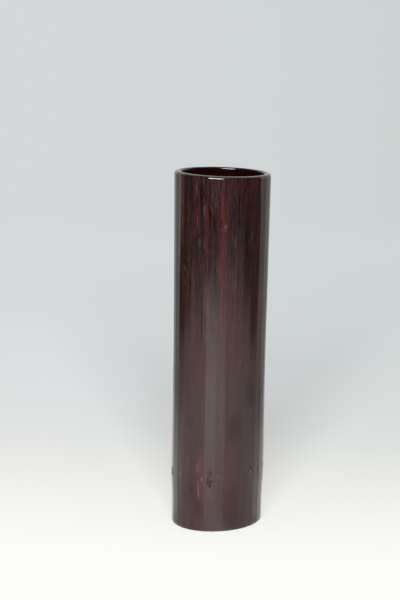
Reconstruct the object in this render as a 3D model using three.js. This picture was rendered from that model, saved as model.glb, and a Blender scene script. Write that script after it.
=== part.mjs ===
// Lacquered bamboo flower tube: the water holder that stands in a hanging flower basket.
//
// It is one length of bamboo culm, planed lengthwise into narrow flats and wiped with brown-red
// lacquer. A natural node near the foot carries the diaphragm that floors the water space, a skirt of
// bare wall below it is the foot, and a coat of black lacquer makes the inside watertight.
//
// Millimetres, +Z up. The tube stands on Z = 0, under the middle of its own box, and the side that is
// looked at faces -Y. The culm grew oval and leans a little, and its mouth is cut a little askew.

import * as THREE from "three";

// Driving dimensions of the culm
const HEIGHT = 225; // foot to mouth, along the middle line
const MOUTH_LONG = 63.4; // long axis of the oval outside, at the mouth
const MOUTH_SHORT = 56.7; // short axis of the oval outside, at the mouth
const FOOT_NARROWING = 2.6; // how much smaller the mean outside is at the foot
const WAIST_DEPTH = 0.25; // how far the outside draws in halfway up
const OVAL_TURN = 43.5; // degrees from +X to the oval's long axis
const LEAN = 3.6; // how far the mouth stands to the right of the foot
const MOUTH_SLOPE = 2.6; // degrees by which the mouth's cut falls to the right

// Driving dimensions of the planing
const FLATS = 32; // planed flats round the culm
const WIDE_FLAT = -141; // degrees from the oval's long axis to the middle of a widest flat
const FLAT_WANDER = 1.4; // degrees by which edges leave an even spacing, so that flats differ in width
const FLAT_WAVES = 6; // how often the flats widen and narrow in one turn

// Driving dimensions of the wall, the lip and the foot
const CULM_WALL = 3.2; // bamboo between the planed outside and the bore
const SKIRT_WALL = 4; // bamboo below the node
const LIP_DEPTH = 3; // the thick lip at the mouth, which the lining reaches up to
const LIP_OUTER_ROUND = 1.8; // rounding of the mouth's outer edge
const LIP_INNER_ROUND = 1.2; // rounding of the mouth's inner edge
const FOOT_CHAMFER = 0.6; // broken edge round the outside of the foot

// Driving dimensions of the node and its diaphragm
const NODE_HEIGHT = 32; // crest of the node above the foot
const NODE_SWELL = 0.7; // how proud the planed node stands
const NODE_REACH_UP = 55; // how far the swelling fades out above the crest
const NODE_REACH_DOWN = 14; // how far it fades out below the crest
const LEDGE_WIDTH = 1.6; // the ridge inside the node that carries the diaphragm
const LEDGE_SLOPE = 5; // how far the underside of the ridge runs down the wall
const DIAPHRAGM_THICKNESS = 3;
const DIAPHRAGM_DISH = 2; // how far the diaphragm's middle hangs below its rim

// Driving dimensions of the lining
const LINING_WALL = 0.7;
const FLOOR_COVE = 5; // radius of the cove between the lining's wall and its floor
const BED = 0.2; // thickness of the ground coat between one piece and the next

// How finely curves are drawn
const WALL_RINGS = 12; // stretches up the wall above the node
const SWELL_RINGS = 4; // stretches on each side of the node's crest
const ROUND_STEPS = 4; // stretches in a rounding, a cove or a dish

const DEGREE = Math.PI / 180;
const MOUTH_RADIUS = (MOUTH_LONG + MOUTH_SHORT) / 4;
const FOOT_RADIUS = MOUTH_RADIUS - FOOT_NARROWING / 2;
const LONG_SHARE = MOUTH_LONG / 2 / MOUTH_RADIUS;
const SHORT_SHARE = MOUTH_SHORT / 2 / MOUTH_RADIUS;
const SEAT_HEIGHT = NODE_HEIGHT - DIAPHRAGM_THICKNESS / 2;
const LINING_TOP = HEIGHT - LIP_DEPTH - BED;

// Half the oval's width along X for a mean radius, which centres the leaning tube on the origin.
function halfWidth(radius) {
  const long = radius * LONG_SHARE * Math.cos(OVAL_TURN * DEGREE);
  const short = radius * SHORT_SHARE * Math.sin(OVAL_TURN * DEGREE);
  return Math.hypot(long, short);
}

const FOOT_CENTRE = -(LEAN + halfWidth(MOUTH_RADIUS) - halfWidth(FOOT_RADIUS)) / 2;

// Mean radius of the culm's straight taper, which the bore and the lining follow.
function taper(z) {
  return THREE.MathUtils.lerp(FOOT_RADIUS, MOUTH_RADIUS, z / HEIGHT);
}

// Mean radius of the planed outside: the taper with a shallow waist and a swelling at the node.
function outside(z) {
  const waist = WAIST_DEPTH * Math.sin((Math.PI * z) / HEIGHT) ** 2;
  const reach = z > NODE_HEIGHT ? NODE_REACH_UP : NODE_REACH_DOWN;
  const swell = NODE_SWELL * Math.exp(-2 * ((z - NODE_HEIGHT) / reach) ** 2);
  return taper(z) - waist + swell;
}

function bore(z) {
  return taper(z) - CULM_WALL;
}

function skirtInside(z) {
  return taper(z) - SKIRT_WALL;
}

function liningInside(z) {
  return bore(z) - BED - LINING_WALL;
}

// Evenly spaced numbers from one value to another, both included.
function steps(from, to, count) {
  return Array.from({ length: count + 1 }, (_, i) => THREE.MathUtils.lerp(from, to, i / count));
}

// Points of a circular arc in the profile plane, from one angle to another in degrees.
function arc(centreR, centreZ, radius, fromDegrees, toDegrees) {
  return steps(fromDegrees * DEGREE, toDegrees * DEGREE, ROUND_STEPS).map(
    (a) => new THREE.Vector2(centreR + radius * Math.cos(a), centreZ + radius * Math.sin(a)),
  );
}

// Points that follow a radius function through a list of heights.
function follow(radiusAt, heights) {
  return heights.map((z) => new THREE.Vector2(radiusAt(z), z));
}

// Turns a shape lathed round into the culm's own shape: oval, planed, leaning and cut askew.
function grow(geometry) {
  const position = geometry.attributes.position;
  const turn = OVAL_TURN * DEGREE;
  for (let i = 0; i < position.count; i++) {
    const radius = Math.hypot(position.getX(i), position.getY(i));
    const even = Math.atan2(position.getY(i), position.getX(i));
    const wander = FLAT_WANDER * Math.sin(FLAT_WAVES * (even - WIDE_FLAT * DEGREE));
    const angle = even + wander * DEGREE;
    const long = radius * LONG_SHARE * Math.cos(angle);
    const short = radius * SHORT_SHARE * Math.sin(angle);
    const x = long * Math.cos(turn) - short * Math.sin(turn);
    const y = long * Math.sin(turn) + short * Math.cos(turn);
    const z = position.getZ(i);
    const share = z / HEIGHT;
    const askew = share * Math.tan(MOUTH_SLOPE * DEGREE) * x;
    position.setXYZ(i, x + FOOT_CENTRE + LEAN * share, y, z - askew);
  }
  geometry.computeVertexNormals();
  return geometry;
}

// One piece of the tube, lathed from its profile of radius and height and grown to the culm's shape.
// A lathed shape starts a quarter turn behind +X once it is stood up, and one side of it is one flat.
function piece(name, profile, colour, roughness) {
  const start = (WIDE_FLAT + 90 + 180 / FLATS) * DEGREE;
  const lathed = new THREE.LatheGeometry(profile, FLATS, start).rotateX(Math.PI / 2);
  const material = new THREE.MeshStandardMaterial({ color: colour, roughness, metalness: 0 });
  const mesh = new THREE.Mesh(grow(lathed), material);
  mesh.name = name;
  return mesh;
}

// The culm's wall: a tube open at both ends, with a thick lip, and a ledge inside the node.
function culmWall() {
  const mouthInside = liningInside(LINING_TOP);
  const nodeTop = NODE_HEIGHT + NODE_REACH_UP;
  const nodeBottom = NODE_HEIGHT - NODE_REACH_DOWN;
  const up = [
    ...steps(FOOT_CHAMFER, nodeBottom, 2),
    ...steps(nodeBottom, NODE_HEIGHT, SWELL_RINGS).slice(1),
    ...steps(NODE_HEIGHT, nodeTop, SWELL_RINGS).slice(1),
    ...steps(nodeTop, HEIGHT - LIP_OUTER_ROUND, WALL_RINGS).slice(1, -1),
  ];
  const ledgeInside = bore(SEAT_HEIGHT) - LEDGE_WIDTH;
  const lipOutside = outside(HEIGHT) - LIP_OUTER_ROUND;
  const foot = new THREE.Vector2(outside(0) - FOOT_CHAMFER, 0);
  const profile = [
    foot,
    ...follow(outside, up),
    ...arc(lipOutside, HEIGHT - LIP_OUTER_ROUND, LIP_OUTER_ROUND, 0, 90),
    ...arc(mouthInside + LIP_INNER_ROUND, HEIGHT - LIP_INNER_ROUND, LIP_INNER_ROUND, 90, 180),
    new THREE.Vector2(mouthInside, HEIGHT - LIP_DEPTH),
    ...follow(bore, [HEIGHT - LIP_DEPTH, SEAT_HEIGHT]),
    new THREE.Vector2(ledgeInside, SEAT_HEIGHT),
    ...follow(skirtInside, [SEAT_HEIGHT - LEDGE_SLOPE, 0]),
    foot,
  ];
  return piece("culm_wall", profile, "#35201e", 0.3);
}

// Depth of the dished diaphragm below its rim, at a share of the way out from the middle.
function dish(share) {
  return DIAPHRAGM_DISH * (1 - share ** 2);
}

const DIAPHRAGM_BOTTOM = SEAT_HEIGHT + BED;
const DIAPHRAGM_TOP = DIAPHRAGM_BOTTOM + DIAPHRAGM_THICKNESS;

// The node's diaphragm: a dished plate across the culm, whose rim sits on the ledge.
function nodeDiaphragm() {
  const rim = bore(SEAT_HEIGHT) - BED;
  const opening = bore(SEAT_HEIGHT) - LEDGE_WIDTH;
  const under = steps(0, 1, ROUND_STEPS).map(
    (share) => new THREE.Vector2(share * (opening - BED), DIAPHRAGM_BOTTOM - dish(share)),
  );
  const over = steps(1, 0, ROUND_STEPS).map(
    (share) => new THREE.Vector2(share * rim, DIAPHRAGM_TOP - dish(share)),
  );
  const profile = [...under, new THREE.Vector2(rim, DIAPHRAGM_BOTTOM), ...over];
  return piece("node_diaphragm", profile, "#6b4a2f", 0.7);
}

// The lacquer lining: a thin cup on the bore and the diaphragm, with a coved corner.
function lacquerLining() {
  const edge = bore(DIAPHRAGM_TOP) - BED;
  const floorUnder = steps(0, 1, ROUND_STEPS).map(
    (share) => new THREE.Vector2(share * edge, DIAPHRAGM_TOP + BED - dish(share)),
  );
  const floor = DIAPHRAGM_TOP + BED + LINING_WALL;
  const coveTop = floor + FLOOR_COVE;
  const coveInside = liningInside(coveTop) - FLOOR_COVE;
  const floorOver = steps(1, 0, ROUND_STEPS).map(
    (share) => new THREE.Vector2(share * coveInside, floor - dish(share)),
  );
  const profile = [
    ...floorUnder,
    new THREE.Vector2(bore(LINING_TOP) - BED, LINING_TOP),
    new THREE.Vector2(liningInside(LINING_TOP), LINING_TOP),
    ...arc(coveInside, coveTop, FLOOR_COVE, 0, -90).slice(0, -1),
    ...floorOver,
  ];
  return piece("lacquer_lining", profile, "#1b0d0c", 0.12);
}

const flowerTube = new THREE.Group();
flowerTube.add(culmWall(), nodeDiaphragm(), lacquerLining());

export default flowerTube;
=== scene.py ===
import math
import random
from collections import namedtuple
from functools import partial

import bmesh
import bpy
from bpy.props import FloatProperty, FloatVectorProperty, IntProperty, PointerProperty
from mathutils import Matrix, Vector, noise


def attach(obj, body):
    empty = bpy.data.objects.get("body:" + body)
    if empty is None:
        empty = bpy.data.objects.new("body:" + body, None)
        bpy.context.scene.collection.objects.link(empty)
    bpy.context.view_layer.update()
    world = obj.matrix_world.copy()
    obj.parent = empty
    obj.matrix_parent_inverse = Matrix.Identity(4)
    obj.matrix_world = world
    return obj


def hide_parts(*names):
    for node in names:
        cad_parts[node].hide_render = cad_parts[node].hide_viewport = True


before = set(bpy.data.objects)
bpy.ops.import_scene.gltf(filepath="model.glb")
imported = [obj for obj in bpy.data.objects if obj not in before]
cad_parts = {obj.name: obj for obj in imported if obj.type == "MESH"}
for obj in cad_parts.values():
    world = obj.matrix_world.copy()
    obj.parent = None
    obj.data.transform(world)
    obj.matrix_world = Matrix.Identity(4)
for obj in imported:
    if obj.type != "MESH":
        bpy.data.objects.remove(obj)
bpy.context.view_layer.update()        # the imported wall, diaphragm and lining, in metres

bl_info = {
    "name": "Lacquered Bamboo Flower Tube",
    "version": (1, 0, 0),
    "blender": (4, 5, 0),
    "location": "View3D > Sidebar > Flower Tube",
    "description": "A planed, lacquered bamboo tube that holds water and flowers in a hanging basket",
    "category": "Add Mesh",
}

MM = 0.001

# A stroke lies on the planed outside between two places. Degrees run round from the middle of the widest
# flat, which faces the viewer; heights and half widths are in millimetres. Its strength is how much it
# covers, or for a scar how deep it is in millimetres. The rows below are strokes.
Stroke = namedtuple("Stroke", "from_degrees from_height to_degrees to_height half_width strength")

# Where the lacquer was wiped thin and the red of the fibres glows through
RED_STROKES = (
    (11.3, 216, 12.2, 192, 1.7, 0.3),
    (12.0, 206, 10.2, 160, 3.2, 0.27),
    (10.2, 178, 11.0, 118, 1.8, 0.3),
    (-6.6, 208, -7.4, 172, 2.0, 0.3),
    (-7.2, 162, -6.8, 118, 2.4, 0.2),
    (-6.0, 180, -6.8, 148, 0.9, 0.25),
    (-24.6, 173, -23.2, 112, 1.4, 0.32),
    (-20.5, 207, -20.0, 184, 0.6, 0.2),
    (-11.5, 52, -10.5, 20, 4.2, 0.35),
    (-12.0, 49, -11.0, 39, 1.6, 0.25),
    (-27.0, 48, -27.0, 41, 2.2, 0.25),
    (20.5, 48, 22.5, 14, 3.2, 0.2),
    (0.5, 30, 0.5, 22, 2.0, 0.3),
    (-30.0, 13, -30.0, 1, 3.6, 0.3),
    (-17.0, 11, -17.0, 1, 3.0, 0.2),
    (15.0, 100, 17.0, 44, 2.2, 0.2),
)

# Darker strokes and patches of the film, which also reflect less. Those marked below, on the right
# side and at the foot, are painted shade
DARK_AND_SHADE_STROKES = (
    (2.0, 205, 2.6, 160, 2.6, 0.28),
    (-13.0, 212, -12.8, 176, 1.2, 0.38),
    (-18.0, 196, -17.5, 134, 3.6, 0.3),
    (19.5, 205, 21.0, 160, 2.0, 0.3),
    (23.5, 214, 25.5, 172, 3.6, 0.45),
    # These two long strokes darken the upper right side, turned away from the softbox: painted shade
    (38.0, 224, 40.0, 150, 5.5, 0.45),
    (55.0, 224, 58.0, 150, 6.0, 0.55),
    (-47.4, 190, -46.2, 124, 1.2, 0.6),
    (55.0, 152, 54.5, 118, 2.6, 0.5),
    (-12.5, 152, -11.8, 121, 0.5, 0.85),
    (-8.0, 141, -7.5, 126, 0.5, 0.6),
    # This broad weak stroke darkens the lower right side in a soft band: painted shade
    (44.0, 140, 46.0, 45, 13.0, 0.15),
    (53.0, 96, 54.0, 83, 5.0, 0.4),
    (62.0, 88, 63.0, 64, 6.0, 0.25),
    (75.0, 96, 76.5, 56, 3.4, 0.7),
    (18.6, 84, 18.6, 58, 2.6, 0.12),
    (31.5, 72, 29.5, 61, 6.0, 0.36),
    (-26.8, 74, -26.8, 67, 4.0, 0.18),
    (-23.2, 29.5, -23.2, 24.5, 2.6, 0.25),
    (-15.0, 20, -15.0, 12.5, 2.6, 0.25),
    # This broad stroke darkens the foot on the right down to the floor: painted shade
    (30.0, 22, 30.0, 0, 9.0, 0.2),
    (1.0, 39.2, 1.0, 36.6, 2.2, 0.3),
    (54.6, 41.0, 52.0, 37.8, 1.0, 0.35),
    (55.2, 40.4, 59.0, 37.6, 1.0, 0.3),
    (68.4, 40.0, 68.8, 35.4, 1.4, 0.3),
    (-66.4, 36, -66.2, 32, 1.6, 0.6),
)

# Paler marks: fibres that the lacquer has worn off, and a few wider faint grey patches. The thinnest
# are drawn one column wide to show
PALE_STROKES = (
    (-48.8, 240, -50.6, 160, 1.2, 0.3),
    (-45.2, 240, -44.2, 182, 2.4, 0.07),
    (5.0, 240, 5.5, 204, 6.0, 0.035),
    (-7.2, 162, -6.8, 116, 2.4, 0.04),
    (-12.2, 224, -12.2, 220.5, 0.4, 0.18),
    (-21.4, 221, -21.1, 212, 0.4, 0.17),
    (-10.7, 207.5, -10.6, 201, 0.4, 0.15),
    (-10.8, 202, -10.4, 197, 0.4, 0.13),
    (-19.6, 201, -19.4, 193, 0.4, 0.09),
    (-16.2, 186.5, -16.1, 181.5, 0.5, 0.12),
    (-10.3, 187.5, -10.2, 180.5, 0.4, 0.13),
    (26.5, 188.5, 26.8, 182, 0.6, 0.09),
    (49.0, 190, 49.5, 181, 0.5, 0.06),
    (-38.6, 169.5, -38.5, 165, 0.4, 0.15),
    (-11.4, 171.5, -11.3, 167, 0.4, 0.12),
    (-15.1, 44.5, -14.9, 38.5, 0.4, 0.3),
    (-13.5, 33.9, -13.1, 20.5, 0.4, 0.28),
    (-8.9, 35.2, -8.9, 33.6, 0.6, 0.5),
    (14.6, 196.4, 14.7, 192.4, 0.5, 0.2),
    (17.3, 195.2, 17.4, 192.6, 0.4, 0.15),
    (10.2, 38.5, 10.3, 35.5, 0.4, 0.2),
    (13.2, 38, 13.3, 34.5, 0.4, 0.2),
    (16.3, 37, 16.4, 34, 0.4, 0.15),
    (54.6, 37.2, 55.4, 36.4, 0.7, 0.2),
    (-42.7, 35.8, -42.7, 34, 0.9, 0.2),
)

# Where the lacquer is so thin that golden bamboo shows
GOLD_STROKES = (
    (-13.5, 33.9, -13.1, 20.5, 0.4, 0.1),
    (14.6, 196.4, 14.7, 192.4, 0.5, 0.12),
    (63.2, 226, 63.5, 212, 1.0, 0.12),
    (-30.8, 207, -30.6, 192, 2.2, 0.02),
    (-33.0, 194, -33.4, 166, 3.0, 0.012),
    (-35.2, 168, -34.9, 143, 2.2, 0.02),
    (55.0, 184, 55.0, 138, 4.5, 0.012),
    (18.6, 84, 18.6, 56, 2.6, 0.014),
    (19.5, 223, 20.0, 206, 3.0, 0.015),
    (-3.7, 17, -3.7, 11, 1.2, 0.03),
)

# Old bud and root scars at the node
SCARS = (
    (-1.7, 35.6, -1.4, 32.2, 0.6, 0.55),
    (3.0, 33.8, 1.0, 30.2, 0.7, 0.5),
    (1.0, 38.9, 1.0, 37.0, 2.6, 0.12),
    (54.2, 40.4, 52.0, 38.0, 1.1, 0.2),
    (55.6, 40.0, 58.8, 37.8, 1.1, 0.15),
    (68.4, 40.0, 68.8, 35.4, 1.0, 0.2),
    (-66.8, 35.6, -66.2, 32.4, 1.1, 0.5),
)

# Marks that chance scatters over the sides and back, and specks all round, measured as strokes are
SCATTER_SEED = 11
SCATTERED_STROKES = 60
SCATTERED_SCARS = 7
SCATTERED_SPECKS = 170
BACK_DEGREES = (80, 280)
STROKE_TOPS = (45, 222)
STROKE_LENGTHS = (10, 90)
STROKE_LOWEST = 2
STROKE_HALF_WIDTHS = (0.6, 2.4)
STROKE_TURNS = (-1, 1)
STROKE_COVER = 0.55
SCAR_TOPS = (31, 40)
SCAR_LENGTHS = (1, 4)
SCAR_HALF_WIDTH = 0.9
SCAR_DEPTH = 0.35
SPECK_TOPS = (60, 222, 190)
SPECK_LENGTHS = (0.8, 3.5)
SPECK_HALF_WIDTH = 0.4
SPECK_COVERS = (0.03, 0.09)

# Over what share of its length a stroke fades at each end, how high a scar's rim is beside its depth, and
# how many half widths out the rim ends
STROKE_FADE = 0.25
SCAR_RIM = 0.2
RIM_END = 2

# Places of the bare bamboo and of the lining's lacquer among the wall's materials
BARE = 1
LINED = 2

# A face of the wall is inside from this share of its thickness on, and part of the foot below this height
INSIDE_SHARE = 0.8
FOOT_LEVEL = 0.01 * MM

# How far the black lacquer of the lip runs down behind the lining
LACQUER_TUCK = 2 * MM

# How far down the lip it is painted pale, and how much: partly lacquer rubbed off and partly a painted
# highlight along the rim's top edge
RIM_WEAR_AND_HIGHLIGHT_DEPTH = 0.5 * MM
RIM_WEAR_AND_HIGHLIGHT = 0.35

# How finely the pieces are drawn
COLUMNS_PER_FLAT = 16
INNER_COLUMNS_PER_FLAT = 4
PLAIN_ROW = 2.2 * MM
NODE_ROW = 0.5 * MM
NODE_ROWS_BELOW = 10 * MM
NODE_ROWS_ABOVE = 15 * MM
LINING_ROW = 8 * MM
ARC_STEPS = 8
SHARES = [i / ARC_STEPS for i in range(ARC_STEPS + 1)]
ROW_DIGITS = 7
WELD_DISTANCE = 0.001 * MM
SHARP_ANGLE = math.radians(50)

# Uneven planing: how flat a flat is, how much that differs and over what length it changes, and how far
# edges of flats and the whole wall wander in and out
FLATNESS = 0.97
FLATNESS_SPREAD = 0.15
FLATNESS_LENGTH = 90 * MM
EDGE_WANDER = 0.08 * MM
EDGE_LENGTH = 70 * MM
WAVE_DEPTH = 0.08 * MM
WAVE_LENGTH = 55 * MM

# The broken line round the node: how far below the crest it lies, its width and its depth
LINE_DROP = 2 * MM
LINE_WIDTH = 0.8 * MM
LINE_DEPTH = 0.25 * MM

# Ripples of the lip and of the diaphragm
LIP_RIPPLE = 0.06 * MM
DIAPHRAGM_RIPPLE = 0.15 * MM
DIAPHRAGM_RIPPLE_WIDTH = 6 * MM

# Places in the noise, far enough apart that flats, edges, line and lip differ, and sizes of the noise
# on a circle round the tube
FLAT_STRIDE = 3.1
FLAT_PLACE = 0.5
EDGE_STRIDE = 7.7
EDGE_PLACE = 4.5
WAVE_CIRCLE = 1.3
LINE_CIRCLE = 5
LINE_PLACE = Vector((0, 0, 8.5))
LIP_CIRCLE = 6
LIP_PLACE = Vector((0, 0, 2.5))

# Patterns: width across the fibres, length along them and detail. Real fibres are under half a millimetre
# wide, so those of the lacquer are drawn about twice as coarse to show.
FIBRES = (0.8 * MM, 25 * MM, 3)
BANDS = (3.2 * MM, 130 * MM, 2)
POOLS = (7 * MM, 18 * MM, 3)
GRAIN = (0.5 * MM, 6 * MM, 2)
BRUSH_MARKS = (20 * MM, 1.5 * MM, 2)
BUNDLES = (1.1 * MM, 30 * MM, 3)
STAINS = (14 * MM, 14 * MM, 3)

# Wiped lacquer: how much fibres and pools add to its bands, and fibres to its grain
FILM_FIBRES = 0.2
FILM_POOLS = 0.4
GRAIN_FIBRES = 0.5

# Its ramps. A ramp says where it starts and ends and what it gives there, which is 0 and 1 where it isn't
# said. Heights and distances are in metres.
FILM_SPREAD = (0.56, 1.04)  # from black film to wine film
FINE_LIGHT = (0.5, 1, -0.007, 0.007)  # light that single fibres take away or add
RUBBED_HEIGHTS = (0.165, 0.11)  # from the full film down to where it was rubbed thin
SKIRT_HEIGHTS = (0.04, 0.02)  # from above the node down to the redder skirt
RED_BREAKS = (0.35, 0.6, 0.55)  # how fibres break up red strokes
PALE_BREAKS = (0.4, 0.6, 0.5)  # how the grain breaks up pale strokes
POOL_ROUGHNESS = (0.3, 0.7, 0.11, 0.05)  # smoother where the film pooled
DARK_SPECULAR = (0, 1, 0.5, 0.2)  # reflects less where it is dulled
RUBBED_CALM = (0, 1, 1, 0.5)  # single fibres show less where it was rubbed thin

# Where it was rubbed thin: how even the film is there, how far it is from black to wine, and how much of it
# the thin colour covers. Then how much wine covers the skirt, and how much rougher the darkest marks are.
RUBBED_EVENNESS = 0.6
RUBBED_FILM = 0.5
RUBBED_COVER = 0.2
SKIRT_COVER = 0.4
DARK_ROUGHNESS = 0.15

# Refraction of lacquer and of bamboo, roughness and spread of the other finishes, and relief of each
LACQUER_IOR = 1.52
BAMBOO_IOR = 1.45
BAMBOO_ROUGHNESS = 0.7
BRUSHED_ROUGHNESS = (0, 1, 0.08, 0.16)
BAMBOO_SPREAD = (0.12, 0.4)
FIBRE_RELIEF = 0.015 * MM
BRUSH_RELIEF = 0.02 * MM
BUNDLE_RELIEF = 0.1 * MM

# Light that reaches matt surfaces from all round the room, where 1 is white
AMBIENT = 0.32

# How bright the far end of the backdrop is beside its near end
BACKDROP_LEVEL = 0.91

# How much more red, green and blue the sheet sends near the tube, where it looks warmer
NEAR_TINT = (1.045, 1.01, 0.975)

# Ramps of the sheet as the camera sees it, over the distance behind the tube
SHEET_LEVEL = (0.3, 1.4, 1, BACKDROP_LEVEL)  # light of the backdrop
SHEET_COOL = (0.08, 0.42)  # from the warm tint to none
SHEET_LIFT = (0.2, 0.6, 1.43, 1.68)  # how pale the share is that the softbox lights
SHEET_SHARE = (-0.1, 0.25, 0.16, 0.8)  # how large that share is
SHEET_NEAR = (1.1, 0.45)  # and how it ends far behind
SHEET_BEHIND = (-0.1, 0.3)  # from white paper to backdrop
BACKDROP_SLOPES = (-0.1, 0.1)  # from the backdrop's left to its right, as a share of the distance

# Ramps of the sheet as gloss sees it, over the distance from the tube, the share of it that is straight
# back, the place to the right, or the slant from the line to the softbox
MIRROR_BEHIND = (-0.5, 0.3)  # from in front to behind
MIRROR_FAR = (0.1, 0.4, 0.1)  # how the shade behind grows with distance
MIRROR_RIGHT = (-0.05, 0.05)  # from the left shade to the right one
SHEEN_SLANT = (0.62, 0)  # the bright band in line with the softbox
SHEEN_NEARBY = (0, 0.35, 0.7)  # weaker close to the tube
SHEEN_REACH = (0.95, 0.8)  # and its far end
CLOSE_SHADE = (0, 0.25, -0.18, 0)  # shade close in front of the tube
PATCH_LEFT = (0, -0.06)  # the bright patch behind on the left
PATCH_LIGHT = (0.4, 0.16, 0, 0.4)  # its light
PATCH_CLEAR = (0.08, 0.16, 0.3)  # and its weaker part close to the tube
ROOM_FRONT = (0.36, 1.16)  # from the sheet to the dark room
ROOM_SIDES = (0.45, 0.7)  # the same at both sides
ROOM_BACK = (0.42, 0.28)  # no dark room behind
WORLD_BEHIND = (0.28, 0.42)  # from the dark room to the backdrop

# How much brighter than white the band is, the middle of the lit sheet, the middle of its sides, and how
# much nearer the sides come further back
SHEEN = 0.95
SHEET_MIDDLE = (0.02, -0.06, 0)
SIDES_LEFT = 0.03
SIDES_CLOSING = 0.5

# The stage, in metres: half the floor's side, its drop below the foot, the places of the softbox for matt
# surfaces and of the one for highlights, and the point they face. The sensor's width is in millimetres.
FLOOR_HALF = 8
FLOOR_DROP = 0.2 * MM
SOFTBOX_PLACE = (-0.06, -1.9, 0.7)
HIGHLIGHT_PLACE = (-0.04, -1.45, 1.05)
SOFTBOX_AIM = Vector((0, 0, 0.12))
SENSOR_WIDTH = 36


def linear(hex_colour):
    """Linear red, green and blue of an sRGB colour written as #rrggbb."""
    shares = [int(hex_colour[i : i + 2], 16) / 255 for i in (1, 3, 5)]
    return tuple(s / 12.92 if s <= 0.04045 else ((s + 0.055) / 1.055) ** 2.4 for s in shares)


def length(name, description, millimetres):
    """A length that a user can change, kept in metres."""
    return FloatProperty(
        name=name, description=description, default=millimetres * MM, unit="LENGTH", precision=5
    )


def turn(name, description, degrees):
    """An angle that a user can change, kept in radians."""
    return FloatProperty(
        name=name, description=description, default=math.radians(degrees), unit="ROTATION"
    )


def paint(name, description, hex_colour):
    """A colour that a user can change, kept as linear light."""
    return FloatVectorProperty(
        name=name, description=description, default=linear(hex_colour), subtype="COLOR", min=0, max=1
    )


class TubeSizes(bpy.types.PropertyGroup):
    """Sizes of the culm, its planing, its node and its lining."""

    height: length("Height", "Foot to mouth, along the middle line", 225)
    mouth_long: length("Mouth long axis", "Long axis of the oval outside, at the mouth", 63.4)
    mouth_short: length("Mouth short axis", "Short axis of the oval outside, at the mouth", 56.7)
    foot_narrowing: length("Foot narrowing", "How much smaller the mean outside is at the foot", 2.6)
    waist_depth: length("Waist", "How far the outside draws in halfway up", 0.25)
    oval_turn: turn("Oval turn", "From +X to the oval's long axis", 43.5)
    lean: length("Lean", "How far the mouth stands to the right of the foot", 3.6)
    mouth_slope: turn("Mouth slope", "How far the mouth's cut falls to the right", 2.6)
    flats: IntProperty(name="Flats", description="Planed flats round the culm", default=32, min=8)
    wide_flat: turn("Widest flat", "From the oval's long axis to the middle of a widest flat", -141)
    flat_wander: turn("Flat wander", "How far the flats' edges leave an even spacing", 1.4)
    flat_waves: IntProperty(
        name="Flat waves", description="How often the flats widen and narrow in one turn", default=6
    )
    culm_wall: length("Culm wall", "Bamboo between the planed outside and the bore", 3.2)
    skirt_wall: length("Skirt wall", "Bamboo below the node", 4)
    lip_depth: length("Lip depth", "The thick lip at the mouth", 3)
    lip_outer_round: length("Outer lip rounding", "Rounding of the mouth's outer edge", 1.8)
    lip_inner_round: length("Inner lip rounding", "Rounding of the mouth's inner edge", 1.2)
    foot_chamfer: length("Foot chamfer", "Broken edge round the outside of the foot", 0.6)
    node_height: length("Node height", "Crest of the node above the foot", 32)
    node_swell: length("Node swell", "How proud the planed node stands", 0.7)
    node_reach_up: length("Node reach up", "How far the swelling fades out above the crest", 55)
    node_reach_down: length("Node reach down", "How far it fades out below the crest", 14)
    ledge_width: length("Ledge width", "The ridge inside the node that carries the diaphragm", 1.6)
    ledge_slope: length("Ledge slope", "How far the ridge's underside runs down the wall", 5)
    diaphragm_thickness: length("Diaphragm", "Thickness of the node's diaphragm", 3)
    diaphragm_dish: length("Dish", "How far the diaphragm's middle hangs below its rim", 2)
    lining_wall: length("Lining", "Thickness of the lacquer lining", 0.7)
    floor_cove: length("Cove", "Radius between the lining's wall and its floor", 5)
    bed: length("Bed", "Ground coat between one piece and the next", 0.2)


class TubeColours(bpy.types.PropertyGroup):
    """Colours of the lacquer, the bare bamboo and the stage."""

    # The black film also paints the shade of the dark strokes on the right side and at the foot
    lacquer_black: paint("Black lacquer film", "Where the wiped lacquer pooled", "#140e0d")
    lacquer_brown: paint("Brown lacquer film", "The usual depth of the wiped lacquer", "#211212")
    lacquer_wine: paint("Wine lacquer film", "Where it lies thin over red fibres", "#331718")
    lacquer_red: paint("Red lacquer film", "The reddest streaks", "#4f221e")
    lacquer_thin: paint("Thin lacquer film", "Where it was rubbed down towards the foot", "#442624")
    # The pale fibre colour also paints a highlight along the rim's top edge
    fibre_pale_and_highlight: paint("Bared fibre", "Fibres that the lacquer has worn off", "#8c807b")
    fibre_gold: paint("Golden fibre", "Bamboo that shows through the thinnest lacquer", "#90704c")
    lining_red: paint("Lining", "The opaque lacquer inside", "#140304")
    bamboo_pale: paint("Bare bamboo", "Scraped inner wall and diaphragm", "#a98556")
    bamboo_dark: paint("Bamboo bundles", "Fibre bundles and stains in the bare bamboo", "#5d4022")
    paper: paint("Paper", "The white sheet that the tube stands on", "#fdfdfb")
    # The backdrop's right is painted a little darker than its left: painted shade, with the softbox on the
    # left
    backdrop_left: paint("Backdrop left", "The sheet behind the tube, on the left", "#dde1e2")
    backdrop_right: paint("Backdrop right", "The sheet behind the tube, on the right", "#d7dcdc")
    shade_left: paint("Shade left", "How gloss sees the sheet behind the tube, on the left", "#babdbd")
    shade_right: paint("Shade right", "How gloss sees the sheet behind the tube, on the right", "#b4b0ad")
    room_dark: paint("Dark room", "What gloss sees past the edge of the sheet", "#3a3a3a")


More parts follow.
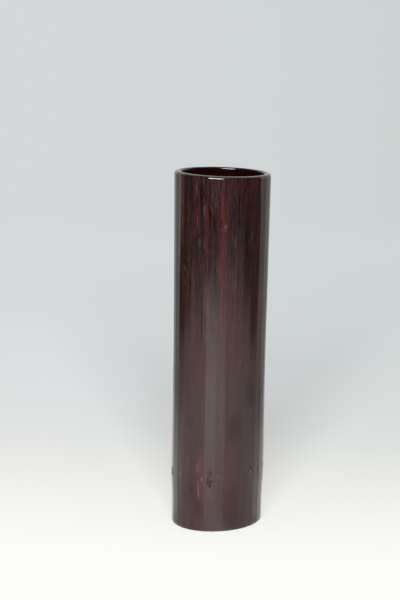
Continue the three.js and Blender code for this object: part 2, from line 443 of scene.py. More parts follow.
class StageSettings(bpy.types.PropertyGroup):
    """Camera and lamps."""

    camera_back: length("Camera distance", "From the tube's middle back to the lens", 1035.5)
    camera_height: length("Camera height", "Height of the lens above the floor", 338.2)
    camera_side: length("Camera side", "The lens to the right of the tube's middle", -1.3)
    camera_pitch: turn("Camera pitch", "How far the lens looks down", 10.643)
    camera_yaw: turn("Camera yaw", "How far the lens looks to the left", 0.657)
    lens: FloatProperty(name="Lens", description="Focal length in millimetres", default=100)
    softbox_width: length("Softbox width", "Width of the softbox", 1000)
    softbox_height: length("Softbox height", "Height of the softbox", 550)
    softbox_watts: FloatProperty(
        name="Softbox power", description="Power on matt surfaces in watts", default=64
    )
    highlight_watts: FloatProperty(
        name="Highlight power", description="Power in highlights in watts", default=51
    )
    sheen_turn: turn("Sheen turn", "How far left of the lens the sheet looks brightest in gloss", 4)


class FlowerTube(bpy.types.PropertyGroup):
    """Everything that a user would change."""

    sizes: PointerProperty(type=TubeSizes)
    colours: PointerProperty(type=TubeColours)
    stage: PointerProperty(type=StageSettings)


class Culm:
    """The grown shape of the tube, worked out from its sizes."""

    def __init__(self, sizes):
        self.sizes = sizes
        self.mouth_radius = (sizes.mouth_long + sizes.mouth_short) / 4
        self.foot_radius = self.mouth_radius - sizes.foot_narrowing / 2
        self.long_share = sizes.mouth_long / 2 / self.mouth_radius
        self.short_share = sizes.mouth_short / 2 / self.mouth_radius
        growth = self.half_width(self.mouth_radius) - self.half_width(self.foot_radius)
        self.foot_centre = -(sizes.lean + growth) / 2
        self.seat = sizes.node_height - sizes.diaphragm_thickness / 2
        self.diaphragm_bottom = self.seat + sizes.bed
        self.diaphragm_top = self.diaphragm_bottom + sizes.diaphragm_thickness
        self.lining_top = sizes.height - sizes.lip_depth - sizes.bed
        self.lacquer_low = self.lining_top - LACQUER_TUCK

    def half_width(self, radius):
        """Half the oval's width along X for a mean radius."""
        long = radius * self.long_share * math.cos(self.sizes.oval_turn)
        short = radius * self.short_share * math.sin(self.sizes.oval_turn)
        return math.hypot(long, short)

    def taper(self, z):
        """Mean radius of the straight taper, which bore and lining follow."""
        share = z / self.sizes.height
        return self.foot_radius + (self.mouth_radius - self.foot_radius) * share

    def outside(self, z):
        """Mean radius of the planed outside: the taper with a waist and a swelling at the node."""
        sizes = self.sizes
        waist = sizes.waist_depth * math.sin(math.pi * z / sizes.height) ** 2
        reach = sizes.node_reach_up if z > sizes.node_height else sizes.node_reach_down
        swell = sizes.node_swell * math.exp(-2 * ((z - sizes.node_height) / reach) ** 2)
        return self.taper(z) - waist + swell

    def bore(self, z):
        return self.taper(z) - self.sizes.culm_wall

    def skirt_inside(self, z):
        return self.taper(z) - self.sizes.skirt_wall

    def lining_inside(self, z):
        return self.bore(z) - self.sizes.bed - self.sizes.lining_wall

    def dish(self, share):
        """Depth of the dished diaphragm at a share of the way out from its middle."""
        return self.sizes.diaphragm_dish * (1 - share**2)

    def spread(self, even):
        """The angle of a column once the flats have their own widths."""
        sizes = self.sizes
        return even + sizes.flat_wander * math.sin(sizes.flat_waves * (even - sizes.wide_flat))

    def place(self, angle, radius, z):
        """A point of the round, straight tube, moved to where the culm grew."""
        sizes = self.sizes
        long = radius * self.long_share * math.cos(angle)
        short = radius * self.short_share * math.sin(angle)
        x = long * math.cos(sizes.oval_turn) - short * math.sin(sizes.oval_turn)
        y = long * math.sin(sizes.oval_turn) + short * math.cos(sizes.oval_turn)
        share = z / sizes.height
        askew = share * math.tan(sizes.mouth_slope) * x
        return Vector((x + self.foot_centre + sizes.lean * share, y, z - askew))


def steps(start, end, spacing):
    """Evenly spaced numbers from start to end, both included, about a spacing apart."""
    count = max(1, round(abs(end - start) / spacing))
    return [start + (end - start) * i / count for i in range(count + 1)]


def arc(centre_r, centre_z, radius, from_degrees, to_degrees):
    """Points of a circular arc in a profile."""
    angles = [from_degrees + (to_degrees - from_degrees) * share for share in SHARES]
    return [
        (centre_r + radius * math.cos(math.radians(a)), centre_z + radius * math.sin(math.radians(a)))
        for a in angles
    ]


def lathe(profile, columns, start, closed):
    """Spins a profile of radius and height round +Z, and welds its seam and its poles."""
    shape = bmesh.new()
    corners = [shape.verts.new((radius, 0, z)) for radius, z in profile]
    following = corners[1:] + corners[:1] if closed else corners[1:]
    edges = [shape.edges.new(pair) for pair in zip(corners, following)]
    bmesh.ops.rotate(shape, verts=corners, cent=(0, 0, 0), matrix=Matrix.Rotation(start, 3, "Z"))
    bmesh.ops.spin(
        shape,
        geom=corners + edges,
        cent=(0, 0, 0),
        axis=(0, 0, 1),
        angle=math.tau,
        steps=columns,
        use_merge=True,
    )
    bmesh.ops.remove_doubles(shape, verts=shape.verts, dist=WELD_DISTANCE)
    bmesh.ops.recalc_face_normals(shape, faces=shape.faces)
    return shape


def add_object(name, data):
    """Puts a mesh, a lamp or a camera into the scene."""
    item = bpy.data.objects.new(name, data)
    bpy.context.scene.collection.objects.link(item)
    return item


def add_mesh(shape, name, materials):
    """Turns a bmesh into an object of the scene with its materials."""
    mesh = bpy.data.meshes.new(name)
    shape.to_mesh(mesh)
    shape.free()
    for material in materials:
        mesh.materials.append(material)
    return add_object(name, mesh)


def finish_piece(shape, name, node, materials):
    """Turns a bmesh into a piece that stands for a node of the frame and rides on its body."""
    for face in shape.faces:
        face.smooth = True
    for edge in shape.edges:
        edge.smooth = edge.calc_face_angle(0) < SHARP_ANGLE
    piece = add_mesh(shape, name, materials)
    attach(piece, "root")
    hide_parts(node)


# A Mix node's two colours are inputs 6 and 7 and their mix is output 2, and its two numbers are inputs 2 and
# 3 and their mix is output 0.
def add_node(tree, kind, inputs=(), **settings):
    """Adds a shader node of a kind with its settings, sets or links its inputs, and gives its outputs.

    Inputs come in the node's own order, or in a dict by name or number."""
    node = tree.nodes.new("ShaderNode" + kind)
    for name, value in settings.items():
        setattr(node, name, value)
    rows = inputs.items() if isinstance(inputs, dict) else enumerate(inputs)
    for name, value in rows:
        if isinstance(value, bpy.types.NodeSocket):
            tree.links.new(value, node.inputs[name])
        else:
            node.inputs[name].default_value = value
    return node.outputs


def empty_nodes(block):
    """Clears the nodes of a material or a world, and gives the function that adds new ones to it."""
    block.use_nodes = True
    block.node_tree.nodes.clear()
    return partial(add_node, block.node_tree)


def opaque(colour):
    return (*colour, 1)


def fibre_patterns(add, place, sizes):
    """Streaky patterns on a place's coordinates, one for each row of width, length and detail."""
    patterns = []
    for across, along, detail in sizes:
        inputs = {"Vector": place, "Scale": (1 / across, 1 / across, 1 / along)}
        counted = add("Mapping", inputs)["Vector"]
        inputs = {"Vector": counted, "Scale": 1, "Detail": detail}
        patterns.append(add("TexNoise", inputs)["Fac"])
    return patterns


def finish_surface(add, inputs, pattern, depth):
    """Ends a material in a shader with these inputs, on a surface that a pattern raises by a depth."""
    relief = add("Bump", {"Height": pattern, "Strength": 1, "Distance": depth})["Normal"]
    shader = add("BsdfPrincipled", {**inputs, "Normal": relief})["BSDF"]
    add("OutputMaterial", {"Surface": shader})


def wiped_lacquer(colours):
    """Brown-red lacquer wiped thin over planed bamboo.

    The film is a glossy clear brown, so long fibres and their red undertone show through it in streaks.
    It is blackest where it pooled, and worn off in a few pale ticks. Some dark strokes paint shade,
    and the pale along the rim's top edge is partly a painted highlight."""
    material = bpy.data.materials.new("wiped_lacquer_on_planed_bamboo")
    add = empty_nodes(material)
    culm = add("Attribute", attribute_name="culm")["Vector"]
    marks = add("Attribute", attribute_name="marks")
    red, dark, pale = add("SeparateColor", {"Color": marks["Color"]})
    height = add("SeparateXYZ", {"Vector": culm})["Z"]
    fibre, film, pool, grain = fibre_patterns(add, culm, (FIBRES, BANDS, POOLS, GRAIN))
    for pattern, weight in ((fibre, FILM_FIBRES), (pool, FILM_POOLS)):
        film = add("Math", (pattern, weight, film), operation="MULTIPLY_ADD")[0]
    fine = add("Math", (fibre, GRAIN_FIBRES, grain), operation="MULTIPLY_ADD")[0]
    ramps = []
    for value, ramp in (
        (film, FILM_SPREAD),
        (fine, FINE_LIGHT),
        (height, RUBBED_HEIGHTS),
        (height, SKIRT_HEIGHTS),
        (fibre, RED_BREAKS),
        (grain, PALE_BREAKS),
        (pool, POOL_ROUGHNESS),
        (dark, DARK_SPECULAR),
    ):
        ramps.append(add("MapRange", (value, *ramp))["Result"])
    film, fine, rubbed, skirt, ragged, broken, gloss, specular = ramps

    even = add("Math", (rubbed, RUBBED_EVENNESS), operation="MULTIPLY")[0]
    film = add("Mix", {0: even, 2: film, 3: RUBBED_FILM})[0]
    streaks = add("ValToRGB", {"Fac": film})["Color"]
    stops = streaks.node.color_ramp.elements
    stops[0].color = opaque(colours.lacquer_black)
    stops[1].color = opaque(colours.lacquer_wine)
    stops.new(0.5).color = opaque(colours.lacquer_brown)
    calm = add("MapRange", (rubbed, *RUBBED_CALM))["Result"]
    thin = add("Math", (rubbed, skirt), operation="SUBTRACT")[0]
    products = []
    for value, factor in (
        (fine, calm),
        (thin, RUBBED_COVER),
        (skirt, SKIRT_COVER),
        (red, ragged),
        (pale, broken),
    ):
        products.append(add("Math", (value, factor), operation="MULTIPLY")[0])
    fine, thin, skirt, glow, worn = products
    colour = add("VectorMath", (streaks, fine), operation="ADD")["Vector"]
    for share, over in (
        (thin, colours.lacquer_thin),
        (skirt, colours.lacquer_wine),
        (glow, colours.lacquer_red),
        # dark strokes on the right side and at the foot paint shade with the black film
        (dark, colours.lacquer_black),
        (marks["Alpha"], colours.fibre_gold),
        # the pale along the rim's top edge is partly a painted highlight
        (worn, colours.fibre_pale_and_highlight),
    ):
        colour = add("Mix", {"Factor": share, 6: colour, 7: opaque(over)}, data_type="RGBA")[2]

    gloss = add("Math", (dark, DARK_ROUGHNESS, gloss), operation="MULTIPLY_ADD")[0]
    inputs = {"Base Color": colour, "Roughness": gloss, "IOR": LACQUER_IOR, "Specular IOR Level": specular}
    finish_surface(add, inputs, fibre, FIBRE_RELIEF)
    return material


def lining_lacquer(colours):
    """Opaque black-red lacquer, brushed round the inside in several coats: glossy, with faint ridges."""
    material = bpy.data.materials.new("brushed_black_red_lacquer")
    add = empty_nodes(material)
    place = add("TexCoord")["Object"]
    brushed = fibre_patterns(add, place, (BRUSH_MARKS,))[0]
    gloss = add("MapRange", (brushed, *BRUSHED_ROUGHNESS))["Result"]
    inputs = {"Base Color": opaque(colours.lining_red), "Roughness": gloss, "IOR": LACQUER_IOR}
    finish_surface(add, inputs, brushed, BRUSH_RELIEF)
    return material


def bare_bamboo(colours):
    """Scraped and sawn bamboo: matt straw, with darker fibre bundles and a little lacquer soaked in."""
    material = bpy.data.materials.new("scraped_bare_bamboo")
    add = empty_nodes(material)
    place = add("TexCoord")["Object"]
    bundles, stain = fibre_patterns(add, place, (BUNDLES, STAINS))
    shade = add("Math", (bundles, stain), operation="MULTIPLY")[0]
    mixed = add("MapRange", (shade, *BAMBOO_SPREAD))["Result"]
    inputs = {"Factor": mixed, 6: opaque(colours.bamboo_dark), 7: opaque(colours.bamboo_pale)}
    colour = add("Mix", inputs, data_type="RGBA")[2]
    inputs = {"Base Color": colour, "Roughness": BAMBOO_ROUGHNESS, "IOR": BAMBOO_IOR}
    finish_surface(add, inputs, bundles, BUNDLE_RELIEF)
    return material


def scattered_marks():
    """Rows of strokes and scars for the sides and back, and of worn specks all round, from a fixed seed."""
    draw = random.Random(SCATTER_SEED)
    strokes = []
    for _ in range(SCATTERED_STROKES):
        degrees = draw.uniform(*BACK_DEGREES)
        top = draw.uniform(*STROKE_TOPS)
        bottom = max(STROKE_LOWEST, top - draw.uniform(*STROKE_LENGTHS))
        half_width = draw.uniform(*STROKE_HALF_WIDTHS)
        turned = degrees + draw.uniform(*STROKE_TURNS)
        strokes.append((degrees, top, turned, bottom, half_width, STROKE_COVER))
    scars = []
    for _ in range(SCATTERED_SCARS):
        degrees = draw.uniform(*BACK_DEGREES)
        top = draw.uniform(*SCAR_TOPS)
        bottom = top - draw.uniform(*SCAR_LENGTHS)
        scars.append((degrees, top, degrees, bottom, SCAR_HALF_WIDTH, SCAR_DEPTH))
    specks = []
    for _ in range(SCATTERED_SPECKS):
        degrees = draw.uniform(-180, 180)
        top = draw.triangular(*SPECK_TOPS)
        bottom = top - draw.uniform(*SPECK_LENGTHS)
        specks.append((degrees, top, degrees, bottom, SPECK_HALF_WIDTH, draw.uniform(*SPECK_COVERS)))
    return strokes, scars, specks


def reaching(strokes, height):
    """The strokes that come near a height, with room for the rim of a scar."""
    near = []
    for stroke in strokes:
        low, high = sorted((stroke.from_height, stroke.to_height))
        room = RIM_END * stroke.half_width
        if low - room < height < high + room:
            near.append(stroke)
    return near


def distance(stroke, degrees, height, radius):
    """How far a point lies from a stroke's middle line, counted in half widths of the stroke."""
    rise = stroke.to_height - stroke.from_height
    share = min(1, max(0, (height - stroke.from_height) / rise))
    middle = stroke.from_degrees + share * (stroke.to_degrees - stroke.from_degrees)
    aside = math.radians((degrees - middle + 180) % 360 - 180) * radius
    beyond = height - stroke.from_height - share * rise
    return math.hypot(aside, beyond) / stroke.half_width


def cover(strokes, degrees, height, radius):
    """How much strokes cover a point: most along their middles, and fading out at sides and ends."""
    total = 0
    for stroke in strokes:
        away = distance(stroke, degrees, height, radius)
        if away < 1:
            low, high = sorted((stroke.from_height, stroke.to_height))
            inside = max(0, min(height - low, high - height)) + stroke.half_width
            fade = min(1, inside / (STROKE_FADE * (high - low) + stroke.half_width))
            total += stroke.strength * (1 - away**2) * fade
    return min(1, total)


def scar_depth(scars, degrees, height, radius):
    """How deep scars are at a point, with a low rim round each, in millimetres."""
    total = 0
    for scar in scars:
        away = distance(scar, degrees, height, radius)
        if away < 1:
            total += scar.strength * (1 - away**2) ** 2
        elif away < RIM_END:
            total -= SCAR_RIM * scar.strength * math.sin(math.pi * (away - 1)) ** 2
    return total


class FLOWERTUBE_OT_culm_wall(bpy.types.Operator):
    """Models the planed and lacquered bamboo wall"""

    bl_idname = "flowertube.culm_wall"
    bl_label = "Culm wall"

    def profile(self, culm):
        """The closed section of the wall: outside, lip, bore, ledge and skirt."""
        sizes = culm.sizes
        mouth_inside = culm.lining_inside(culm.lining_top)
        dense_low = sizes.node_height - NODE_ROWS_BELOW
        dense_high = sizes.node_height + NODE_ROWS_ABOVE
        lip_low = sizes.height - sizes.lip_outer_round
        heights = steps(sizes.foot_chamfer, dense_low, PLAIN_ROW)
        heights += steps(dense_low, dense_high, NODE_ROW)[1:]
        heights += steps(dense_high, lip_low, PLAIN_ROW)[1:-1]
        points = [(culm.outside(0) - sizes.foot_chamfer, 0)]
        points += [(culm.outside(z), z) for z in heights]
        outer = culm.outside(sizes.height) - sizes.lip_outer_round
        points += arc(outer, lip_low, sizes.lip_outer_round, 0, 90)
        inner = mouth_inside + sizes.lip_inner_round
        points += arc(inner, sizes.height - sizes.lip_inner_round, sizes.lip_inner_round, 90, 180)
        points.append((mouth_inside, sizes.height - sizes.lip_depth))
        bore_heights = (sizes.height - sizes.lip_depth, culm.lacquer_low, culm.seat)
        points += [(culm.bore(z), z) for z in bore_heights]
        points.append((culm.bore(culm.seat) - sizes.ledge_width, culm.seat))
        points += [(culm.skirt_inside(z), z) for z in (culm.seat - sizes.ledge_slope, 0)]
        return points

    def relief(self, culm, even, z):
        """How far the planed outside stands off its round: flats, uneven planing and the node's line."""
        sizes = culm.sizes
        flat_width = math.tau / sizes.flats
        turns = (even - sizes.wide_flat) / flat_width + 0.5
        flat = math.floor(turns) % sizes.flats
        off = (turns - math.floor(turns) - 0.5) * flat_width
        chord = culm.outside(z) * (math.cos(flat_width / 2) / math.cos(off) - 1)
        place = (flat * FLAT_STRIDE, z / FLATNESS_LENGTH, FLAT_PLACE)
        flatness = FLATNESS + FLATNESS_SPREAD * noise.noise(place)
        edges = []
        for edge in (flat, (flat + 1) % sizes.flats):
            place = (edge * EDGE_STRIDE, z / EDGE_LENGTH, EDGE_PLACE)
            edges.append(EDGE_WANDER * noise.noise(place))
        share = off / flat_width + 0.5
        tilt = edges[0] + share * (edges[1] - edges[0])
        around = Vector((math.cos(even), math.sin(even), 0))
        wave = WAVE_DEPTH * noise.noise(around * WAVE_CIRCLE + Vector((0, 0, z / WAVE_LENGTH)))
        line = math.exp(-(((z - sizes.node_height + LINE_DROP) / LINE_WIDTH) ** 2))
        broken = max(0, noise.noise(around * LINE_CIRCLE + LINE_PLACE))
        return flatness * chord + tilt + wave - LINE_DEPTH * line * broken

    def finish_faces(self, shape, culm):
        """Leaves the bore, the skirt's inside and the foot bare, and lacquers the lip's inside black."""
        for face in shape.faces:
            middle = face.calc_center_median()
            depth = culm.outside(middle.z) - middle.xy.length
            inside = depth > INSIDE_SHARE * culm.sizes.culm_wall
            if inside and middle.z > culm.lacquer_low:
                face.material_index = LINED
            elif inside or middle.z < FOOT_LEVEL:
                face.material_index = BARE

    def grow(self, shape, culm):
        """Marks the round, straight wall with strokes, planes it and moves it to where the culm grew."""
        sizes = culm.sizes
        scattered, back_scars, specks = scattered_marks()
        groups = [
            [Stroke(*row) for row in rows]
            for rows in (
                (*RED_STROKES, *scattered[::2]),
                (*DARK_AND_SHADE_STROKES, *scattered[1::2]),
                (*PALE_STROKES, *specks),
                GOLD_STROKES,
                (*SCARS, *back_scars),
            )
        ]
        culm_layer = shape.verts.layers.float_vector.new("culm")
        marks_layer = shape.verts.layers.float_color.new("marks")
        rows = {}
        for vert in shape.verts:
            rows.setdefault(round(vert.co.z, ROW_DIGITS), []).append(vert)
        for z, verts in rows.items():
            *near, scars = [reaching(group, z / MM) for group in groups]
            lip = max(0, 1 - (sizes.height - z) / sizes.lip_depth)
            # Along the rim's top edge the pale is partly rubbed-off lacquer and partly a painted highlight
            worn_and_highlight = RIM_WEAR_AND_HIGHLIGHT * max(0, 1 - (sizes.height - z) / RIM_WEAR_AND_HIGHLIGHT_DEPTH)
            for vert in verts:
                radius = vert.co.xy.length
                even = math.atan2(vert.co.y, vert.co.x)
                angle = culm.spread(even)
                degrees = math.degrees(angle - sizes.wide_flat)
                skin = max(0, 1 - (culm.outside(z) - radius) / sizes.lip_outer_round)
                around = Vector((math.cos(even), math.sin(even), 0))
                vert[culm_layer] = around * culm.mouth_radius + Vector((0, 0, z))
                covers = [skin * cover(group, degrees, z / MM, radius / MM) for group in near]
                red, dark, pale, gold = covers
                depth = scar_depth(scars, degrees, z / MM, radius / MM)
                dark = min(1, dark + skin * max(0, depth))
                pale = min(1, pale + worn_and_highlight)
                vert[marks_layer] = (red, dark, pale, gold)
                radius += skin * (self.relief(culm, even, z) - depth * MM)
                rise = lip * LIP_RIPPLE * noise.noise(around * LIP_CIRCLE + LIP_PLACE)
                vert.co = culm.place(angle, radius, z + rise)

    def execute(self, context):
        tube = context.scene.flower_tube
        sizes = tube.sizes
        culm = Culm(sizes)
        start = sizes.wide_flat + math.pi / sizes.flats
        shape = lathe(self.profile(culm), sizes.flats * COLUMNS_PER_FLAT, start, closed=True)
        self.finish_faces(shape, culm)
        self.grow(shape, culm)
        materials = [make(tube.colours) for make in (wiped_lacquer, bare_bamboo, lining_lacquer)]
        finish_piece(shape, "planed_culm", "culm_wall", materials)
        return {"FINISHED"}


class FLOWERTUBE_OT_node_diaphragm(bpy.types.Operator):
    """Models the bamboo diaphragm that closes the tube at its node"""

    bl_idname = "flowertube.node_diaphragm"
    bl_label = "Node diaphragm"

    def execute(self, context):
        tube = context.scene.flower_tube
        sizes = tube.sizes
        culm = Culm(sizes)
        rim = culm.bore(culm.seat) - sizes.bed
        opening = culm.bore(culm.seat) - sizes.ledge_width - sizes.bed
        profile = [(s * opening, culm.diaphragm_bottom - culm.dish(s)) for s in SHARES]
        profile.append((rim, culm.diaphragm_bottom))
        profile += [(s * rim, culm.diaphragm_top - culm.dish(s)) for s in reversed(SHARES)]
        shape = lathe(profile, sizes.flats * INNER_COLUMNS_PER_FLAT, 0, closed=False)
        for vert in shape.verts:
            even = math.atan2(vert.co.y, vert.co.x)
            ripple = DIAPHRAGM_RIPPLE * noise.noise(vert.co / DIAPHRAGM_RIPPLE_WIDTH)
            vert.co = culm.place(even, vert.co.xy.length, vert.co.z)
            vert.co.z += ripple * max(0, 1 - vert.co.xy.length / rim)
        materials = (bare_bamboo(tube.colours),)
        finish_piece(shape, "bamboo_diaphragm", "node_diaphragm", materials)
        return {"FINISHED"}


class FLOWERTUBE_OT_lacquer_lining(bpy.types.Operator):
    """Models the lacquer cup that makes the tube watertight"""

    bl_idname = "flowertube.lacquer_lining"
    bl_label = "Lacquer lining"

    def execute(self, context):
        tube = context.scene.flower_tube
        sizes = tube.sizes
        culm = Culm(sizes)
        under = culm.diaphragm_top + sizes.bed
        floor = under + sizes.lining_wall
        cove_top = floor + sizes.floor_cove
        cove_inside = culm.lining_inside(cove_top) - sizes.floor_cove
        edge = culm.bore(culm.diaphragm_top) - sizes.bed
        profile = [(s * edge, under - culm.dish(s)) for s in SHARES]
        heights = steps(under, culm.lining_top, LINING_ROW)[1:]
        profile += [(culm.bore(z) - sizes.bed, z) for z in heights]
        heights = steps(culm.lining_top, cove_top, LINING_ROW)[:-1]
        profile += [(culm.lining_inside(z), z) for z in heights]
        profile += arc(cove_inside, cove_top, sizes.floor_cove, 0, -90)[:-1]
        profile += [(s * cove_inside, floor - culm.dish(s)) for s in reversed(SHARES)]
        shape = lathe(profile, sizes.flats * INNER_COLUMNS_PER_FLAT, 0, closed=False)
        for vert in shape.verts:
            even = math.atan2(vert.co.y, vert.co.x)
            vert.co = culm.place(even, vert.co.xy.length, vert.co.z)
        materials = (lining_lacquer(tube.colours),)
        finish_piece(shape, "black_lining", "lacquer_lining", materials)
        return {"FINISHED"}


class FLOWERTUBE_OT_stage(bpy.types.Operator):
    """Sets the paper floor, the two softboxes, the world and the camera"""

    bl_idname = "flowertube.stage"
    bl_label = "Stage"

    def backdrop(self, add, colours, x, depth, level):
        """The colour of the sheet far behind at a level of light, painted a little darker on the right as
        shade.
        """
        slope = add("Math", (x, depth), operation="DIVIDE")[0]
        right = add("MapRange", (slope, *BACKDROP_SLOPES))["Result"]
        inputs = {"Factor": right, 6: opaque(colours.backdrop_left), 7: opaque(colours.backdrop_right)}
        colour = add("Mix", inputs, data_type="RGBA")[2]
        return add("VectorMath", {0: colour, "Scale": level}, operation="SCALE")["Vector"]

    def seen_paper(self, add, colours, settings, place):
        """The sheet for the camera and for matt surfaces: white round the tube, then the backdrop.

        The sheet glows by itself, and only a share of it is lit by the softbox and takes the shadow. The
        share grows behind the tube, where a real sheet would rise and face the light."""
        x, y, _ = add("SeparateXYZ", {"Vector": place})
        depth = add("Math", (y, settings.camera_back), operation="ADD")[0]
        ramps = []
        for ramp in (SHEET_LEVEL, SHEET_COOL, SHEET_LIFT, SHEET_SHARE, SHEET_NEAR):
            ramps.append(add("MapRange", (y, *ramp))["Result"])
        level, cool, lift, share, near = ramps
        behind = add("MapRange", (y, *SHEET_BEHIND), interpolation_type="SMOOTHSTEP")["Result"]
        inputs = {"Factor": cool, 6: opaque(NEAR_TINT), 7: (1, 1, 1, 1)}
        tint = add("Mix", inputs, data_type="RGBA")[2]
        tones = []
        for light in (level, lift):
            inputs = (self.backdrop(add, colours, x, depth, light), tint)
            tones.append(add("VectorMath", inputs, operation="MULTIPLY")[0])
        inputs = {"Factor": behind, 6: opaque(colours.paper), 7: tones[0]}
        tone = add("Mix", inputs, data_type="RGBA")[2]
        glow = add("Emission", {"Color": tone, "Strength": 1})["Emission"]
        lit = add("BsdfDiffuse", {"Color": tones[1]})["BSDF"]
        share = add("Math", (share, near), operation="MULTIPLY")[0]
        return add("MixShader", (share, glow, lit))[0]

    def mirrored_paper(self, add, colours, settings, place):
        """The sheet as gloss sees it: brightest in line with the softbox, with a bright patch behind on the
        left, shaded behind the tube, and fading into a dark room in front and at both sides."""
        inputs = {"Vector": place, "Angle": settings.sheen_turn}
        turned = add("VectorRotate", inputs, rotation_type="Z_AXIS")["Vector"]
        across, depth, _ = add("SeparateXYZ", {"Vector": turned})
        x, y, _ = add("SeparateXYZ", {"Vector": place})
        middle = add("VectorMath", (place, SHEET_MIDDLE), operation="SUBTRACT")["Vector"]
        lengths = []
        for vector in (place, middle):
            lengths.append(add("VectorMath", (vector,), operation="LENGTH")["Value"])
        away, out = lengths
        towards = add("Math", (y, away), operation="DIVIDE")[0]
        slant = add("Math", (across, depth), operation="DIVIDE")[0]
        slant = add("Math", (slant,), operation="ABSOLUTE")[0]
        aside = add("Math", (x, SIDES_LEFT), operation="ADD")[0]
        aside = add("Math", (aside,), operation="ABSOLUTE")[0]
        aside = add("Math", (y, SIDES_CLOSING, aside), operation="MULTIPLY_ADD")[0]
        ramps = []
        for value, ramp in (
            (towards, MIRROR_BEHIND),
            (away, MIRROR_FAR),
            (x, MIRROR_RIGHT),
            (away, SHEEN_NEARBY),
            (away, SHEEN_REACH),
            (away, CLOSE_SHADE),
            (x, PATCH_LEFT),
            (away, PATCH_LIGHT),
            (away, PATCH_CLEAR),
            (out, ROOM_FRONT),
            (aside, ROOM_SIDES),
            (towards, ROOM_BACK),
        ):
            ramps.append(add("MapRange", (value, *ramp))["Result"])
        behind, far, right, nearby, reach, close, left, patch, clear, past, beside, ahead = ramps

        shade = add("Math", (behind, far), operation="MULTIPLY")[0]
        inputs = {"Factor": right, 6: opaque(colours.shade_left), 7: opaque(colours.shade_right)}
        grey = add("Mix", inputs, data_type="RGBA")[2]
        inputs = {"Factor": shade, 6: opaque(colours.paper), 7: grey}
        white = add("Mix", inputs, data_type="RGBA")[2]
        sheen = add("MapRange", (slant, *SHEEN_SLANT), interpolation_type="SMOOTHSTEP")["Result"]
        before = add("Math", (depth, 0), operation="LESS_THAN")[0]
        for factor in (before, nearby, reach):
            sheen = add("Math", (sheen, factor), operation="MULTIPLY")[0]
        for factor in (behind, clear):
            left = add("Math", (left, factor), operation="MULTIPLY")[0]
        strength = 1
        for value, factor in ((sheen, SHEEN), (close, before), (left, patch)):
            strength = add("Math", (value, factor, strength), operation="MULTIPLY_ADD")[0]
        bright = add("Emission", {"Color": white, "Strength": strength})["Emission"]
        past = add("Math", (past, beside), operation="MAXIMUM")[0]
        past = add("Math", (past, ahead), operation="MULTIPLY")[0]
        room = add("Emission", {"Color": opaque(colours.room_dark), "Strength": 1})["Emission"]
        return add("MixShader", (past, bright, room))[0]

    def paper(self, colours, settings):
        """A sheet of white paper on the floor, which turns into a pale backdrop further behind."""
        material = bpy.data.materials.new("stage_paper")
        add = empty_nodes(material)
        rays = add("LightPath")
        place = add("TexCoord")["Object"]
        seen = self.seen_paper(add, colours, settings, place)
        mirrored = self.mirrored_paper(add, colours, settings, place)
        mixed = add("MixShader", (rays["Is Glossy Ray"], seen, mirrored))[0]
        add("OutputMaterial", {"Surface": mixed})
        return material

    def world(self, scene, colours):
        """The backdrop for the camera, the room's even light, and for gloss a dark room in front."""
        world = bpy.data.worlds.new("studio")
        add = empty_nodes(world)
        rays = add("LightPath")
        direction = add("TexCoord")["Generated"]
        x, depth, _ = add("SeparateXYZ", {"Vector": direction})
        behind = add("MapRange", (depth, *WORLD_BEHIND))["Result"]
        backdrop = self.backdrop(add, colours, x, depth, BACKDROP_LEVEL)
        inputs = {"Factor": behind, 6: opaque(colours.room_dark), 7: backdrop}
        room = add("Mix", inputs, data_type="RGBA")[2]
        colour = (AMBIENT, AMBIENT, AMBIENT, 1)
        for ray, seen in (("Is Glossy Ray", room), ("Is Camera Ray", backdrop)):
            colour = add("Mix", {"Factor": rays[ray], 6: colour, 7: seen}, data_type="RGBA")[2]
        background = add("Background", {"Color": colour, "Strength": 1})["Background"]
        add("OutputWorld", {"Surface": background})
        scene.world = world

    def floor(self, colours, settings):
        shape = bmesh.new()
        bmesh.ops.create_grid(shape, x_segments=1, y_segments=1, size=FLOOR_HALF)
        bmesh.ops.translate(shape, verts=shape.verts, vec=(0, 0, -FLOOR_DROP))
        floor = add_mesh(shape, "stage_floor", (self.paper(colours, settings),))

    def softbox(self, name, settings, place, watts, matt):
        """A softbox in front of and above the tube, a little to the left of the lens. It lights either the
        matt surfaces or the highlights, because one lamp can't be set for both."""
        lamp = bpy.data.lights.new(name, "AREA")
        lamp.shape = "RECTANGLE"
        lamp.size = settings.softbox_width
        lamp.size_y = settings.softbox_height
        lamp.energy = watts
        softbox = add_object(name, lamp)
        softbox.location = place
        aim = SOFTBOX_AIM - softbox.location
        softbox.rotation_euler = aim.to_track_quat("-Z", "Y").to_euler()
        softbox.visible_diffuse = matt
        softbox.visible_glossy = not matt

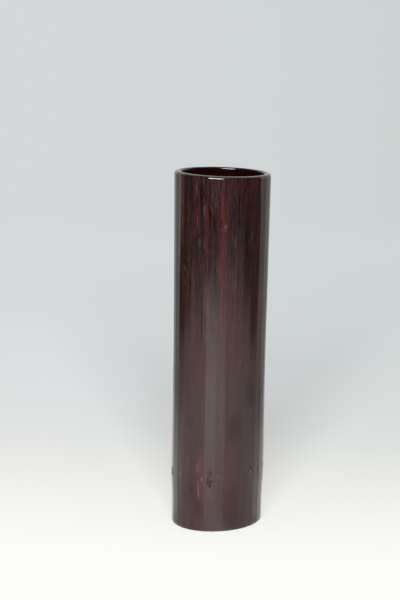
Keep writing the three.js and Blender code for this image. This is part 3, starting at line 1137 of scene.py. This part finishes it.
    def camera(self, scene, settings):
        data = bpy.data.cameras.new("camera")
        data.lens = settings.lens
        data.sensor_width = SENSOR_WIDTH
        camera = add_object("camera", data)
        camera.location = (settings.camera_side, -settings.camera_back, settings.camera_height)
        camera.rotation_euler = (math.pi / 2 - settings.camera_pitch, 0, settings.camera_yaw)
        scene.camera = camera

    def execute(self, context):
        tube = context.scene.flower_tube
        stage = tube.stage
        self.floor(tube.colours, stage)
        self.softbox("softbox", stage, SOFTBOX_PLACE, stage.softbox_watts, True)
        self.softbox("softbox_highlight", stage, HIGHLIGHT_PLACE, stage.highlight_watts, False)
        self.world(context.scene, tube.colours)
        self.camera(context.scene, stage)
        context.scene.view_settings.view_transform = "Standard"
        return {"FINISHED"}


class FLOWERTUBE_PT_panel(bpy.types.Panel):
    """Lists the sizes, the colours and the steps that make the tube"""

    bl_idname = "FLOWERTUBE_PT_panel"
    bl_label = "Flower Tube"
    bl_space_type = "VIEW_3D"
    bl_region_type = "UI"
    bl_category = "Flower Tube"

    def draw(self, context):
        tube = context.scene.flower_tube
        for operator in OPERATORS:
            self.layout.operator(operator.bl_idname)
        for group in (tube.sizes, tube.colours, tube.stage):
            column = self.layout.column(align=True)
            for name in group.__annotations__:
                column.prop(group, name)


OPERATORS = (
    FLOWERTUBE_OT_culm_wall,
    FLOWERTUBE_OT_node_diaphragm,
    FLOWERTUBE_OT_lacquer_lining,
    FLOWERTUBE_OT_stage,
)
CLASSES = (TubeSizes, TubeColours, StageSettings, FlowerTube, *OPERATORS, FLOWERTUBE_PT_panel)


def register():
    for cls in CLASSES:
        bpy.utils.register_class(cls)
    bpy.types.Scene.flower_tube = PointerProperty(type=FlowerTube)


def unregister():
    del bpy.types.Scene.flower_tube
    for cls in reversed(CLASSES):
        bpy.utils.unregister_class(cls)


def main():
    register()
    bpy.ops.flowertube.culm_wall()
    bpy.ops.flowertube.node_diaphragm()
    bpy.ops.flowertube.lacquer_lining()
    bpy.ops.flowertube.stage()


if __name__ == "__main__":
    main()
